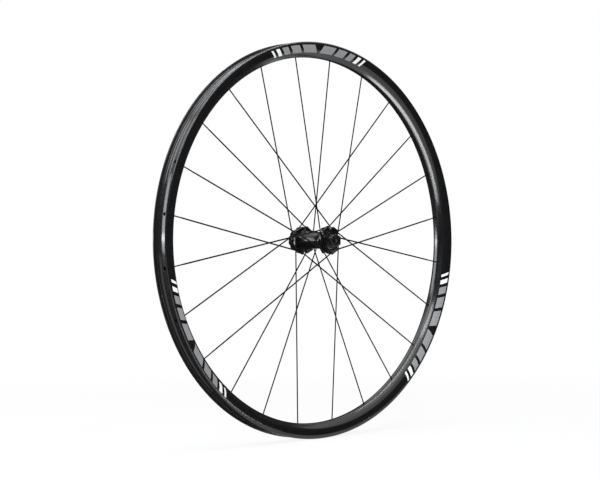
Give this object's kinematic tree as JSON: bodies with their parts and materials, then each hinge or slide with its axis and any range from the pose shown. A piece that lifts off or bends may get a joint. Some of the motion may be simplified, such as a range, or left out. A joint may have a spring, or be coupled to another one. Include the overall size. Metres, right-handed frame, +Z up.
{
  "type": "bicycle wheel",
  "caption": "Front bicycle wheel for a disc brake: hollow carbon rim with hookless bead walls, straight-pull bladed spokes, lobed hub with rotor spline and through-axle bore.",
  "frame": {"origin": "middle of the axle on the rim's centre plane", "axes": "+Y along the axle towards the rotor side, which is the rider's left; +X forwards, +Z up"},
  "size_m": [0.6329, 0.1, 0.633],
  "materials": {
    "carbon_rim": "satin carbon laminate",
    "spoke_steel": "black coated steel",
    "nipple_alloy": "black anodised",
    "hub_black": "black anodised, glossy",
    "cap_black": "black anodised",
    "axle_alloy": "bare turned",
    "bearing_steel": "ground"
  },
  "bodies": {
    "axle_set": {"axle": "axle_alloy", "left_end_cap": "cap_black", "right_end_cap": "cap_black", "left_bearing_inner_ring": "bearing_steel", "right_bearing_inner_ring": "bearing_steel"},
    "wheel": {"rim": "carbon_rim", "spoke_left_inner_1": "spoke_steel", "spoke_left_inner_2": "spoke_steel", "spoke_left_inner_3": "spoke_steel", "spoke_left_inner_4": "spoke_steel", "spoke_left_inner_5": "spoke_steel", "spoke_left_inner_6": "spoke_steel", "spoke_right_inner_1": "spoke_steel", "spoke_right_inner_2": "spoke_steel", "spoke_right_inner_3": "spoke_steel", "spoke_right_inner_4": "spoke_steel", "spoke_right_inner_5": "spoke_steel", "spoke_right_inner_6": "spoke_steel", "spoke_left_outer_1": "spoke_steel", "spoke_left_outer_2": "spoke_steel", "spoke_left_outer_3": "spoke_steel", "spoke_left_outer_4": "spoke_steel", "spoke_left_outer_5": "spoke_steel", "spoke_left_outer_6": "spoke_steel", "spoke_right_outer_1": "spoke_steel", "spoke_right_outer_2": "spoke_steel", "spoke_right_outer_3": "spoke_steel", "spoke_right_outer_4": "spoke_steel", "spoke_right_outer_5": "spoke_steel", "spoke_right_outer_6": "spoke_steel", "nipples": "nipple_alloy", "hub_shell": "hub_black", "left_bearing_outer_ring": "bearing_steel", "right_bearing_outer_ring": "bearing_steel"}
  },
  "joints": [
    {"name": "wheel_spin", "type": "hinge", "parent": "axle_set", "child": "wheel", "pos_m": [0, 0, 0], "axis": [0, 1, 0], "continuous": true}
  ]
}
